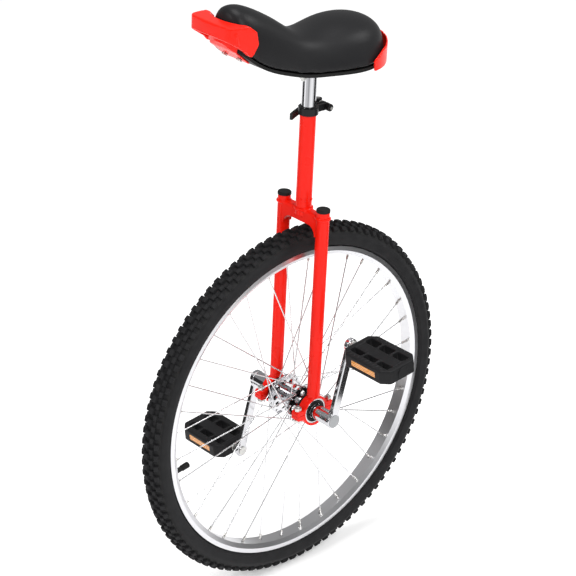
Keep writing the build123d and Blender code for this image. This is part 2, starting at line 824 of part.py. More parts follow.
def make_lever():
    low = clamp_middle - cam_height / 2
    high = clamp_middle + cam_height / 2
    slot = cam_height / 2 - 4.0
    cam = rod_z(cam_radius, low, high, -skewer_offset, cam_y)
    root = abs(cam_y) - lever_thickness / 2 - 1.0
    bulge = clamp_radius + 1.2
    tip = clamp_radius - 1.0
    start_x = -skewer_offset
    end_x = start_x + lever_reach
    blade = make_face([
        ThreePointArc((start_x, -root), (0, -bulge), (end_x, -tip)),
        Line((end_x, -tip), (end_x + 1.5, -tip - lever_thickness)),
        ThreePointArc(
            (end_x + 1.5, -tip - lever_thickness),
            (0, -bulge - lever_thickness),
            (start_x, -root - lever_thickness),
        ),
        Line((start_x, -root - lever_thickness), (start_x, -root)),
    ])
    arm = extrude(Pos(0, 0, low - 30) * blade, 80, dir=(0, 0, 1))
    side_plane = Plane((0, 0, 0), x_dir=(1, 0, 0), z_dir=(0, -1, 0))
    half = lever_height / 2
    drop = clamp_middle - lever_drop
    side = make_face(Polyline(
        (start_x - 10, clamp_middle + half),
        (start_x + 12, clamp_middle + half),
        (end_x + 5, drop + half),
        (end_x + 5, drop - half),
        (start_x + 12, clamp_middle - half),
        (start_x - 10, clamp_middle - half),
        close=True,
    ))
    arm = arm & extrude(side_plane * side, 60)
    lever = cam + arm
    cam_back = cam_y - cam_radius - 1.0
    gap = block((start_x - 9, cam_back, clamp_middle - slot), (start_x + 5.2, 0, clamp_middle + slot))
    lever -= gap
    lever -= rod_z(5.3, clamp_middle - slot, clamp_middle + slot, start_x, cam_y)
    lever -= rod_z(skewer_radius + running_fit, low - 5, high + 5, start_x, cam_y)
    return largest(lever)


# ---------------------------------------------------------------- seat post and saddle
def make_seat_post():
    bottom = seat_tube_top - post_inserted
    return tube_z(post_radius, post_radius - post_wall, bottom, bracket_bottom)


def make_post_plug():
    bottom = seat_tube_top - post_inserted
    plug = rod_z(post_radius - post_wall - seat_fit, bottom, bottom + 8)
    return plug + rod_z(post_radius - 0.3, bottom - 2, bottom)


bolt_places = [
    (x, y)
    for x in (bracket_length / 2 - 8, 8 - bracket_length / 2)
    for y in (bracket_width / 2 - 8, 8 - bracket_width / 2)
]


def make_seat_bracket():
    plate = extrude(Pos(0, 0, bracket_bottom) * RectangleRounded(bracket_length, bracket_width, 7.0),
                    bracket_thickness, dir=(0, 0, 1))
    for x, y in bolt_places:
        plate -= rod_z(bracket_bolt_radius + hole_gap, bracket_bottom - 1, bracket_top + 1, x, y)
    skirt = tube_z(post_radius + 3.0, post_radius, bracket_bottom - 9.0, bracket_bottom)
    return plate + skirt


def make_bracket_nuts():
    nuts = []
    for x, y in bolt_places:
        nut = hex_z(10.0, bracket_bottom - 5.0, bracket_bottom, x, y)
        nut -= rod_z(bracket_bolt_radius + seat_fit, bracket_bottom - 6, bracket_bottom + 1, x, y)
        nuts.append(nut.solid())
    return Compound(nuts)


def make_bracket_bolts():
    bolts = []
    top = saddle_height + base_thickness
    for x, y in bolt_places:
        shank = rod_z(bracket_bolt_radius, bracket_bottom - 8, top, x, y)
        head = rod_z(6.5, top, top + 2.5, x, y)
        bolts.append((shank + head).solid())
    return Compound(bolts)


# The saddle's sections from tail to nose: share of its length, share of its half width,
# and the rise of its underside and of its crown above the seat bracket.
saddle_sections = [
    (0.000, 0.10, 14.0, 29.0),
    (0.026, 0.40, 7.5, 46.0),
    (0.066, 0.61, 4.0, 58.0),
    (0.115, 0.79, 2.0, 66.0),
    (0.228, 0.98, 0.0, 72.0),
    (0.346, 0.96, 0.0, 70.0),
    (0.459, 0.85, 1.0, 65.0),
    (0.571, 0.75, 3.5, 68.0),
    (0.689, 0.69, 12.0, 89.0),
    (0.802, 0.66, 24.0, 108.0),
    (0.904, 0.62, 42.0, 120.0),
    (0.968, 0.48, 58.0, 118.5),
    (0.988, 0.33, 63.0, 112.0),
    (1.000, 0.12, 68.0, 101.0),
]


def saddle_x(share):
    return -saddle_tail + share * saddle_length


def saddle_outline(margin):
    """Plan outline of the saddle, moved out by a margin."""
    half = saddle_width / 2
    side = [(saddle_x(s), w * half + margin) for s, w, _, _ in saddle_sections[1:-1]]
    tail = (saddle_x(0) - margin, 0)
    nose = (saddle_x(1) + margin, 0)
    other_side = [(x, -y) for x, y in reversed(side)]
    return make_face(Spline(tail, *side, nose, *other_side, periodic=True))


def underside_band(lower, upper):
    """A solid sheet that follows the saddle's underside, between two offsets from it."""
    half = saddle_width
    points = [(saddle_x(s), saddle_height + rise) for s, _, rise, _ in saddle_sections]
    first = (points[0][0] - 10, points[0][1] + 8)
    last = (points[-1][0] + 10, points[-1][1] + 8)
    line = [first] + points + [last]
    low = Spline(*[(x, z + lower) for x, z in line])
    high = Spline(*[(x, z + upper) for x, z in reversed(line)])
    joins = [Line(low @ 1, high @ 0), Line(high @ 1, low @ 0)]
    plane = Plane((0, half, 0), x_dir=(1, 0, 0), z_dir=(0, -1, 0))
    return extrude(plane * make_face([low, high] + joins), 2 * half)


def underside_height(share):
    """Height of the saddle's underside at a share of its length, between two sections."""
    for (s0, _, z0, _), (s1, _, z1, _) in zip(saddle_sections, saddle_sections[1:]):
        if s0 <= share <= s1:
            return saddle_height + z0 + (z1 - z0) * (share - s0) / (s1 - s0)
    return saddle_height


def screw_rod(share, y, start, end, radius):
    """A rod square to the underside: start and end count outwards from the base's face."""
    step = 0.01
    rise = underside_height(share + step) - underside_height(share - step)
    slope = rise / (2 * step * saddle_length)
    outward = Vector(slope, 0, -1).normalized()
    foot = Vector(saddle_x(share), y, underside_height(share))
    return rod_between(foot + outward * start, foot + outward * end, radius)


def screw_rods(start, end, radius, shares=None):
    places = [(share, y) for share in (shares or screw_shares) for y in (screw_half, -screw_half)]
    return [screw_rod(share, y, start, end, radius) for share, y in places]


def prism(outline, bottom, top):
    return extrude(Pos(0, 0, bottom) * outline, top - bottom, dir=(0, 0, 1))


def make_saddle_base():
    tall = saddle_height + 140
    base = prism(saddle_outline(-base_inset), saddle_height - 30, tall) & underside_band(0.0, base_thickness)
    for x, y in bolt_places:
        base += rod_z(7.5, bracket_top, saddle_height + base_thickness - 1.0, x, y)
    for x, y in bolt_places:
        base -= rod_z(bracket_bolt_radius + hole_gap, saddle_height - 20, saddle_height + 20, x, y)
        base -= rod_z(7.0, saddle_height + base_thickness, saddle_height + 20, x, y)
    base -= screw_rods(-20, 10, screw_radius + seat_fit)
    return largest(base)


def saddle_section(share, width, low, high):
    """A crowned section across the saddle."""
    half = width * saddle_width / 2
    rise = high - low
    full = 2.35
    points = []
    for angle in (90, 60, 35, 14):
        turn = radians(angle)
        points.append((half * cos(turn) ** (2 / full), low + rise * sin(turn) ** (2 / full)))
    right = [(-y, z) for y, z in reversed(points[1:])]
    crown = Spline((-half, low), *right, *points, (half, low), tangents=[(0, 1), (0, -1)])
    foot = Line((half, low), (-half, low))
    plane = Plane((saddle_x(share), 0, saddle_height), x_dir=(0, 1, 0), z_dir=(1, 0, 0))
    return plane * make_face([crown, foot])


def cushion_form():
    return loft([saddle_section(*section) for section in saddle_sections])


def make_saddle_cushion():
    below = underside_band(-40.0, base_thickness)
    cushion = cushion_form() - below
    top = saddle_height + base_thickness
    for x, y in bolt_places:
        cushion -= rod_z(7.5, top - 1, top + 4, x, y)
    cushion -= screw_rods(-screw_length - 2, 10, screw_radius + hole_gap)
    return largest(cushion)


# ---------------------------------------------------------------- bumpers
nose_x = saddle_x(1.0)
tail_x = saddle_x(0.0)
handle_front = nose_x + handle_reach
handle_top = saddle_height + 102.0
arm_start = saddle_x(0.905)


def side_prism(points, corner):
    """A rounded outline seen from the side, extruded across the saddle."""
    plane = Plane((0, saddle_width, 0), x_dir=(1, 0, 0), z_dir=(0, -1, 0))
    face = make_face(Polyline(*points, close=True))
    face = fillet(face.vertices(), corner)
    return extrude(plane * face, 2 * saddle_width)


def handle_outline(inset):
    half = handle_width / 2 - inset
    wide = half + 5.0
    front = handle_front - inset
    face = make_face([
        Line((arm_start - 10, wide), (front - 3, half)),
        ThreePointArc((front - 3, half), (front, 0), (front - 3, -half)),
        Line((front - 3, -half), (arm_start - 10, -wide)),
        Line((arm_start - 10, -wide), (arm_start - 10, wide)),
    ])
    corners = [v for v in face.vertices() if v.X > nose_x]
    return fillet(corners, 14.0 - inset)


def handle_side():
    """The hood from the side: rounded arms at the back, rising to the grip."""
    return side_prism([
        (arm_start + 12, saddle_height + 54),
        (nose_x - 8, saddle_height + 64),
        (handle_front + 1, saddle_height + 85),
        (handle_front + 1, handle_top + 1),
        (arm_start + 17, handle_top),
        (arm_start + 4, handle_top - 10),
        (arm_start, saddle_height + 73),
    ], 4.0)


def make_front_handle():
    low = saddle_height + 30
    high = handle_top + 5
    hood = prism(handle_outline(0), low, high) & handle_side()
    finger_space = prism(handle_outline(handle_wall), low, handle_top - handle_wall)
    finger_space -= prism(saddle_outline(handle_wall + 0.5), low, high)
    hood -= finger_space
    hood -= prism(saddle_outline(bumper_gap), low, high) & block((0, -200, low), (nose_x + 50, 200, high))
    lip = underside_band(-3.0, -0.05) & prism(saddle_outline(handle_wall - 1.5), 0, high)
    lip &= block((saddle_x(0.895), -27, 0), (nose_x + 20, 27, high))
    chin = prism(saddle_outline(handle_wall), low, high) - prism(saddle_outline(bumper_gap), low, high)
    chin &= block((nose_x - 14, -30, low), (nose_x + 20, 30, handle_top - 2))
    chin -= underside_band(-60.0, -3.0)
    handle = hood + lip + chin
    handle -= screw_rods(-20, 20, screw_radius + hole_gap)
    handle -= screw_rods(3.0, 20, 2 * screw_radius + hole_gap)
    return largest(handle)


def make_rear_bumper():
    low = saddle_height - 6
    front = tail_x + bumper_wrap
    top = saddle_height + bumper_height + 2
    high = top + 30
    band = prism(saddle_outline(bumper_skin), low, high) - prism(saddle_outline(bumper_gap), low, high)
    side = side_prism([
        (tail_x - 10, saddle_height - 1),
        (front, saddle_height - 1),
        (front + 2, saddle_height + bumper_height * 0.55),
        (front - 22, top - 2),
        (tail_x - 10, top + 4),
    ], 3.5)
    band &= side
    lip = underside_band(-3.0, -0.05) & prism(saddle_outline(bumper_skin - 1.5), 0, high)
    lip &= block((tail_x - 20, -27, 0), (saddle_x(0.095), 27, high))
    bumper = band + lip
    bumper -= screw_rods(-20, 20, screw_radius + hole_gap)
    bumper -= screw_rods(3.0, 20, 2 * screw_radius + hole_gap)
    return largest(bumper)


def make_bumper_screws():
    shanks = screw_rods(-screw_length, 3.3, screw_radius)
    heads = screw_rods(3.2, 5.6, 2 * screw_radius)
    return Compound([(shank + head).solid() for shank, head in zip(shanks, heads)])


# ---------------------------------------------------------------- all pieces
def both_sides(name, left):
    """A left piece and its mirror image, as two nodes."""
    return {f"left_{name}": left, f"right_{name}": to_right(left)}


def pair(left):
    """A left piece and its mirror image, as separate solids of one node."""
    return Compound(left.solids() + to_right(left).solids())


def pedal_nodes():
    nodes = {}
    for word, side in (("left", 1), ("right", -1)):
        nodes[f"{word}_pedal_spindle"] = place_pedal(pedal_spindle(), side)
        nodes[f"{word}_pedal_body"] = place_pedal(tilted(pedal_body()), side)
        nodes[f"{word}_pedal_bushes"] = place_pedal(pedal_bushes(), side)
        nodes[f"{word}_pedal_dust_cap"] = place_pedal(pedal_dust_cap(), side)
        nodes[f"{word}_pedal_reflectors"] = place_pedal(tilted(pedal_reflectors()), side)
    return nodes


def all_nodes():
    nodes = {
        "tyre": make_tyre(),
        "inner_tube": make_inner_tube(),
        "rim": make_rim(),
        "rim_tape": make_rim_tape(),
        "valve_stem": make_valve_stem(),
        "valve_cap": make_valve_cap(),
        "spokes": make_spokes(),
        "nipples": make_nipples(),
        "hub_shell": make_hub_shell(),
        "axle": make_axle(),
        "left_crank": make_left_crank(),
        "right_crank": make_right_crank(),
        "crank_bolts": make_crank_bolts(),
        "crank_caps": make_crank_caps(),
        "crown": make_crown(),
        "seat_tube": make_seat_tube(),
        "crown_rivets": make_crown_rivets(),
        "cap_bolts": make_cap_bolts(),
        "cap_nuts": make_cap_nuts(),
        "clamp_collar": make_clamp_collar(),
        "clamp_skewer": make_clamp_skewer(),
        "clamp_nut": make_clamp_nut(),
        "cam_washer": make_cam_washer(),
        "cam_pin": make_cam_pin(),
        "quick_release_lever": make_lever(),
        "seat_post": make_seat_post(),
        "post_plug": make_post_plug(),
        "seat_bracket": make_seat_bracket(),
        "bracket_bolts": make_bracket_bolts(),
        "bracket_nuts": make_bracket_nuts(),
        "saddle_base": make_saddle_base(),
        "saddle_cushion": make_saddle_cushion(),
        "front_handle": make_front_handle(),
        "rear_bumper": make_rear_bumper(),
        "bumper_screws": make_bumper_screws(),
        "leg_plugs": pair(make_left_leg_plug()),
        "axle_spacers": pair(make_left_spacer()),
        "dust_shields": pair(make_left_shield()),
        "bearing_balls": pair(make_left_balls()),
    }
    nodes.update(pedal_nodes())
    nodes.update(both_sides("inner_race", make_left_inner_race()))
    nodes.update(both_sides("outer_race", make_left_outer_race()))
    nodes.update(both_sides("leg", make_left_leg()))
    nodes.update(both_sides("bearing_housing", make_left_housing()))
    nodes.update(both_sides("bearing_cap", make_left_bearing_cap()))
    return nodes


for node, shape in all_nodes().items():
    export_step(shape, f"parts/{node}.step")
    print(node, len(shape.solids()))
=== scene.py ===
import json
import math

import bmesh
import bpy
from mathutils import Matrix, Vector


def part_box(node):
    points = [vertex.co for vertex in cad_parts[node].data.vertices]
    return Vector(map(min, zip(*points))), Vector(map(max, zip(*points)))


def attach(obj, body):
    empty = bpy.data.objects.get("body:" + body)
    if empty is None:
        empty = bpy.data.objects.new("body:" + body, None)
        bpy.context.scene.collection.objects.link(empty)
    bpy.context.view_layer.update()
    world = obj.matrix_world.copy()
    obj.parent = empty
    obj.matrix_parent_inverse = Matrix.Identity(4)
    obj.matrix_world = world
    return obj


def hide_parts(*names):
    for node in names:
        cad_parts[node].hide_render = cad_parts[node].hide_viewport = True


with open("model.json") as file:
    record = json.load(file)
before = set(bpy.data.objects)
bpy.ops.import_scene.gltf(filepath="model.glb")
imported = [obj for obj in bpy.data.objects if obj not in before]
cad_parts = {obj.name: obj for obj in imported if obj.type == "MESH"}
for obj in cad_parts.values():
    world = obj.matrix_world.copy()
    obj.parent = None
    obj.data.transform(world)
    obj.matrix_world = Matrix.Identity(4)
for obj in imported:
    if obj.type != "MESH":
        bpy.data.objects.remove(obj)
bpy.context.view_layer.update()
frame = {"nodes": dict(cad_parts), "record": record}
nodes = frame["nodes"]
axleHeight = sum(corner.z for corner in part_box("axle")) / 2
print("frame loaded:", len(nodes), "nodes, axle at", round(axleHeight, 4))


# wires and finishes: shader sums read as plain arithmetic
class Wire:
    def __init__(self, tree, socket):
        self.tree = tree
        self.socket = socket

    def sum(self, operation, first, second=None):
        node = self.tree.nodes.new("ShaderNodeMath")
        node.operation = operation
        for slot, value in zip(node.inputs, (first, second)):
            if isinstance(value, Wire):
                self.tree.links.new(value.socket, slot)
            elif value is not None:
                slot.default_value = value
        return Wire(self.tree, node.outputs[0])

    def __add__(self, other):
        return self.sum("ADD", self, other)

    def __radd__(self, other):
        return self.sum("ADD", other, self)

    def __sub__(self, other):
        return self.sum("SUBTRACT", self, other)

    def __rsub__(self, other):
        return self.sum("SUBTRACT", other, self)

    def __mul__(self, other):
        return self.sum("MULTIPLY", self, other)

    def __rmul__(self, other):
        return self.sum("MULTIPLY", other, self)

    def __pow__(self, other):
        return self.sum("POWER", self, other)

    def above(self, level):
        return self.sum("GREATER_THAN", self, level)

    def wave(self):
        return self.sum("SINE", self)


class Finish:
    def __init__(self, name, color, roughness, metallic=0.0, constants=None):
        self.material = bpy.data.materials.new(name)
        self.material.use_nodes = True
        self.tree = self.material.node_tree
        self.shader = self.tree.nodes["Principled BSDF"]
        self.color = (*color, 1.0)
        self.shader.inputs["Base Color"].default_value = self.color
        self.shader.inputs["Roughness"].default_value = roughness
        self.shader.inputs["Metallic"].default_value = metallic
        for key, value in (constants or {}).items():
            self.shader.inputs[key].default_value = value

    def node(self, kind, settings=None, values=None):
        node = self.tree.nodes.new("ShaderNode" + kind)
        for key, value in (settings or {}).items():
            setattr(node, key, value)
        for key, value in (values or {}).items():
            if isinstance(value, Wire):
                self.tree.links.new(value.socket, node.inputs[key])
            else:
                node.inputs[key].default_value = value
        return node

    def wire(self, node, output=0):
        return Wire(self.tree, node.outputs[output])

    def place(self):
        return self.wire(self.node("TexCoord"), "Object")

    def axes(self):
        split = self.node("SeparateXYZ", values={"Vector": self.place()})
        return [self.wire(split, letter) for letter in "XYZ"]

    def vector(self, x, y, z):
        return self.wire(self.node("CombineXYZ", values={"X": x, "Y": y, "Z": z}))

    def noise(self, scale, detail=3.0, place=None):
        values = {"Vector": place or self.place(), "Scale": scale, "Detail": detail}
        return self.wire(self.node("TexNoise", values=values), 0)

    def cells(self, scale):
        values = {"Vector": self.place(), "Scale": scale}
        return self.wire(self.node("TexVoronoi", values=values), "Distance")

    def blend(self, factor, first, second):
        values = {0: factor, 6: (*first, 1.0), 7: (*second, 1.0)}
        return self.wire(self.node("Mix", {"data_type": "RGBA"}, values), 2)

    def feed(self, socketName, wire):
        self.tree.links.new(wire.socket, self.shader.inputs[socketName])

    def bump(self, height, depth, strength=1.0):
        values = {"Height": height, "Distance": depth, "Strength": strength}
        self.feed("Normal", self.wire(self.node("Bump", values=values)))

    def wheelRadius(self):
        x, y, z = self.axes()
        z = z - axleHeight
        return (x * x + z * z) ** 0.5, y


def shade(color, amount):
    return tuple(min(1.0, channel * amount) for channel in color)


def hazyMetal(name, color, roughness, smudge, scratches=0.0):
    finish = Finish(name, color, roughness, 1.0)
    haze = finish.noise(28.0, 4.0)
    finish.feed("Roughness", roughness - smudge / 2 + haze * smudge)
    finish.bump(finish.noise(900.0, 2.0), 0.00002 + scratches, 0.35)
    return finish


def bareMetal(name, color, roughness, smudge=0.08, scratches=0.0):
    finish = hazyMetal(name, color, roughness, smudge, scratches)
    finish.feed("Base Color", finish.blend(finish.noise(9.0, 2.0), shade(color, 0.93), shade(color, 1.05)))
    return finish


# chrome whose base colour carries painted reflections: dark streaks blended into the bright metal
def streakedReflectionChrome(name, bright, dark, roughness):
    finish = hazyMetal(name, bright, roughness, 0.06)
    x, y, z = finish.axes()
    paintedReflectionStreaks = finish.noise(1.0, 2.0, finish.vector(x * 190.0, y * 190.0, z * 0.8))  # painted dark reflections, as streaks that run along the tube
    finish.feed("Base Color", finish.blend((paintedReflectionStreaks - 0.5) * 3.0 + 0.5, dark, bright))
    return finish


def mouldedPlastic(name, color, roughness, grain=900.0, depth=0.00008, coat=0.0):
    constants = {"Coat Weight": coat, "Coat Roughness": 0.08, "Specular IOR Level": 0.13}
    finish = Finish(name, color, roughness, 0.0, constants)
    cloud = finish.noise(14.0, 3.0)
    finish.feed("Base Color", finish.blend(cloud, shade(color, 0.86), shade(color, 1.12)))
    finish.feed("Roughness", roughness - 0.06 + cloud * 0.12)
    finish.bump(finish.noise(grain, 3.0), depth, 0.5)
    return finish


def glossPaint(name, color):
    constants = {"Coat Weight": 0.12, "Coat Roughness": 0.06, "Specular IOR Level": 0.12}
    finish = Finish(name, color, 0.28, 0.0, constants)
    cloud = finish.noise(7.0, 3.0)
    finish.feed("Base Color", finish.blend(cloud, shade(color, 0.92), shade(color, 1.06)))
    finish.feed("Roughness", 0.22 + finish.noise(45.0, 4.0) * 0.14)
    finish.bump(finish.noise(420.0, 2.0), 0.00005, 0.3)  # the faint ripple of powder coat
    return finish


def treadRubber(name):
    finish = Finish(name, (0.013, 0.013, 0.014), 0.62, 0.0, {"Specular IOR Level": 0.12})
    radius, _ = finish.wheelRadius()
    dust = finish.noise(60.0, 5.0)
    finish.feed("Base Color", finish.blend(dust, (0.008, 0.008, 0.009), (0.026, 0.026, 0.027)))
    finish.feed("Roughness", 0.5 + dust * 0.28)
    rings = (radius * 2600.0).wave() * (1.0 - radius.above(0.283))  # fine mould rings, sidewall only
    finish.bump(rings * 0.3 + finish.noise(520.0, 4.0), 0.00022, 0.6)
    return finish


def turnedRim(name, color):
    finish = Finish(name, color, 0.3, 1.0)
    radius, y = finish.wheelRadius()
    lines = finish.noise(1.0, 3.0, finish.vector(radius * 2400.0, y * 2400.0, 0.0))
    finish.feed("Roughness", 0.24 + lines * 0.14)
    finish.feed("Base Color", finish.blend(finish.noise(11.0, 3.0), shade(color, 0.94), shade(color, 1.04)))
    finish.bump(lines, 0.00003, 0.4)
    return finish


def grainedVinyl(name):
    finish = Finish(name, (0.012, 0.012, 0.013), 0.42, 0.0, {"Specular IOR Level": 0.16})
    cloud = finish.noise(10.0, 3.0)
    finish.feed("Base Color", finish.blend(cloud, (0.009, 0.009, 0.010), (0.017, 0.017, 0.018)))
    finish.feed("Roughness", 0.36 + cloud * 0.14)
    finish.bump(finish.cells(620.0) + finish.noise(300.0, 4.0) * 0.6, 0.00012, 0.5)
    return finish


def prismLens(name):
    finish = Finish(name, (0.85, 0.28, 0.02), 0.12, 0.0, {"Coat Weight": 1.0, "Coat Roughness": 0.03})
    _, y, z = finish.axes()
    facetsAndGlints = (y * 1570.0).wave() * (z * 1570.0).wave()
    # the facet pattern drives a real bump; its bright and dark amber in the base colour are painted glints
    # of the prisms
    finish.feed("Base Color", finish.blend(facetsAndGlints * 0.5 + 0.5, (0.55, 0.13, 0.01), (1.0, 0.46, 0.06)))
    finish.bump(facetsAndGlints, 0.0004, 0.8)
    return finish


def wovenTape(name, color):
    finish = Finish(name, color, 0.8)
    x, y, z = finish.axes()
    weave = (y * 6000.0).wave() * ((x + z) * 6000.0).wave()
    finish.feed("Base Color", finish.blend(weave * 0.5 + 0.5, shade(color, 0.6), color))
    finish.bump(weave, 0.0002, 0.6)
    return finish


finishes = {
    "tyre": treadRubber("treadRubber"),
    "inner_tube": mouldedPlastic("butylRubber", (0.02, 0.02, 0.02), 0.6),
    "rim": turnedRim("turnedRim", (0.70, 0.70, 0.72)),
    "rim_tape": wovenTape("wovenTape", (0.5, 0.04, 0.03)),
    "valve_rubber": mouldedPlastic("valveRubber", (0.015, 0.015, 0.015), 0.55),
    "valve_cap": mouldedPlastic("capPlastic", (0.012, 0.012, 0.012), 0.42),
    "spoke_steel": bareMetal("drawnWire", (0.72, 0.72, 0.73), 0.24, 0.1),
    "nipple_plating": bareMetal("nickelPlate", (0.70, 0.69, 0.66), 0.2),
    "hub_chrome": bareMetal("hubChrome", (0.62, 0.62, 0.64), 0.12, 0.08),
    "axle_steel": bareMetal("groundSteel", (0.5, 0.5, 0.51), 0.34, 0.12, 0.00002),
    "bearing_steel": bareMetal("bearingSteel", (0.58, 0.58, 0.59), 0.22),
    "shield_rubber": mouldedPlastic("shieldRubber", (0.018, 0.018, 0.018), 0.55),
    "crank_chrome": bareMetal("crankChrome", (0.60, 0.60, 0.62), 0.09, 0.07),
    "crank_cap_grey": mouldedPlastic("capGrey", (0.36, 0.37, 0.38), 0.34, coat=0.3),
    "zinc_plate": bareMetal("zincPlate", (0.62, 0.62, 0.60), 0.32, 0.14, 0.00002),
    "frame_red": glossPaint("framePaint", (0.90, 0.012, 0.004)),
    "plug_black": mouldedPlastic("plugBlack", (0.012, 0.012, 0.012), 0.45),
    "clamp_black": mouldedPlastic("anodisedBlack", (0.010, 0.010, 0.011), 0.3, 1200.0, 0.00004, 0.12),
    "post_chrome": streakedReflectionChrome("postChrome", (0.66, 0.66, 0.68), (0.20, 0.20, 0.21), 0.10),
    "bracket_black": mouldedPlastic("bracketPaint", (0.014, 0.014, 0.014), 0.36, 700.0, 0.00006, 0.1),
    "base_black": mouldedPlastic("baseBlack", (0.012, 0.012, 0.012), 0.5),
    "vinyl_black": grainedVinyl("grainedVinyl"),
    "bumper_red": mouldedPlastic("bumperRed", (0.92, 0.014, 0.005), 0.3, 1100.0, 0.00003, 0.1),
    "pedal_black": mouldedPlastic("pedalBlack", (0.013, 0.013, 0.014), 0.46, 800.0, 0.00010),
    "reflector_amber": prismLens("amberLens"),
    "bush_plastic": mouldedPlastic("whiteNylon", (0.75, 0.75, 0.72), 0.5),
}
slotOfNode = {part["node"]: part["material_slot"] for part in frame["record"]["subparts"]}
for nodeName, cadObject in nodes.items():
    cadObject.data.materials.clear()
    cadObject.data.materials.append(finishes[slotOfNode[nodeName]].material)
print("finishes:", len(finishes))


# helpers for new pieces
def newPiece(name, bm, slotName, bodyName, replaced=()):
    bmesh.ops.recalc_face_normals(bm, faces=bm.faces)
    mesh = bpy.data.meshes.new(name)
    bm.to_mesh(mesh)
    bm.free()
    piece = bpy.data.objects.new(name, mesh)
    bpy.context.scene.collection.objects.link(piece)
    mesh.materials.append(finishes[slotName].material)
    for polygon in mesh.polygons:
        polygon.use_smooth = True
    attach(piece, bodyName)
    if replaced:
        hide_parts(*replaced)
    return piece


def copyOfNode(*nodeNames):
    bm = bmesh.new()
    for nodeName in nodeNames:
        bm.from_mesh(nodes[nodeName].data)
    bmesh.ops.remove_doubles(bm, verts=bm.verts, dist=0.00001)
    return bm


def remeshed(bm, voxel):
    mesh = bpy.data.meshes.new("remeshForm")
    bm.to_mesh(mesh)
    bm.free()
    form = bpy.data.objects.new("remeshForm", mesh)
    bpy.context.scene.collection.objects.link(form)
    remesh = form.modifiers.new("voxels", "REMESH")
    remesh.mode = "VOXEL"
    remesh.voxel_size = voxel
    graph = bpy.context.evaluated_depsgraph_get()
    bm = bmesh.new()
    bm.from_mesh(form.evaluated_get(graph).to_mesh())
    bpy.data.objects.remove(form)
    return bm


def relax(bm, rounds):
    for _ in range(rounds):
        bmesh.ops.smooth_vert(bm, verts=bm.verts, factor=0.5, use_axis_x=True, use_axis_y=True,
                              use_axis_z=True)


def softened(bm, voxel, rounds):
    bm = remeshed(bm, voxel)
    relax(bm, rounds)
    return bm


def block(bm, low, high, turn=None):
    size = Vector(high) - Vector(low)
    middle = (Vector(high) + Vector(low)) / 2
    matrix = Matrix.Translation(middle) @ Matrix.Diagonal((*size, 1.0))
    if turn is not None:
        matrix = turn @ matrix
    return bmesh.ops.create_cube(bm, size=1.0, matrix=matrix)["verts"]


def ringBead(bm, radius, bead, place):
    # a torus about Z: a small circle spun round
    circle = bmesh.ops.create_circle(bm, segments=10, radius=bead)["verts"]
    stand = place @ Matrix.Translation((radius, 0, 0)) @ Matrix.Rotation(math.pi / 2, 4, "X")
    bmesh.ops.transform(bm, matrix=stand, verts=circle)
    edges = list({edge for vert in circle for edge in vert.link_edges})
    bmesh.ops.spin(bm, geom=circle + edges, cent=place.translation, axis=place.col[2].xyz,
                   angle=2 * math.pi, steps=48, use_merge=True)


# tyre: a casing with blocks of tread round it
tyre = {
    "knobPitches": 100,
    "treadDepth": 0.0052,
    "blockRoot": 0.0012,  # how far a block goes on into the casing
    "blockTaper": 0.82,
    "roundSteps": 240,
    "centreBlock": (0.0108, 0.0090),  # along the tyre, across it
    "middleBlock": (0.0096, 0.0070),
    "shoulderBlock": (0.0102, 0.0085),
    "blockAngles": (0.0, 24.0, 47.0),
    "blockShifts": (0.0, 0.5, 0.02),  # in pitches
    "blockDrops": (0.0, 0.0012, 0.0002),  # below the outer radius
    "sidewallFrom": 62,  # degrees from the crown
    "sidewallSkin": 0.0007,
    "beadHalf": 0.0124,
    "beadWidth": 0.0026,
    "beadDepth": 0.0085,  # below the edge of the rim
    "sharpFrom": 32.0,
    "bevel": 0.0008,
}


def treadBlock(bm, size, angle, shift, core, height):
    along, across = size
    depth = tyre["treadDepth"] + tyre["blockRoot"]
    verts = bmesh.ops.create_cube(bm, size=1.0, matrix=Matrix.Diagonal((along, across, depth, 1.0)))["verts"]
    top = [vert for vert in verts if vert.co.z > 0]
    bmesh.ops.scale(bm, vec=(tyre["blockTaper"], tyre["blockTaper"], 1.0), verts=top)
    near = {edge for vert in top for edge in vert.link_edges}
    edges = [edge for edge in near if all(vert in top for vert in edge.verts)]
    made = bmesh.ops.bevel(bm, geom=edges, offset=tyre["bevel"], affect="EDGES", segments=1, profile=0.5,
                           material=-1)
    knob = list({vert for face in made["faces"] for vert in face.verts} | {v for v in verts if v.is_valid})
    lift = Matrix.Translation((0, 0, height - depth / 2))
    lean = Matrix.Rotation(-math.radians(angle), 4, "X")
    out = Matrix.Translation((0, 0, core))
    turn = Matrix.Rotation(shift * 2 * math.pi / tyre["knobPitches"], 4, "Y")
    place = Matrix.Translation((0, 0, axleHeight)) @ turn @ out @ lean @ lift
    bmesh.ops.transform(bm, matrix=place, verts=knob)


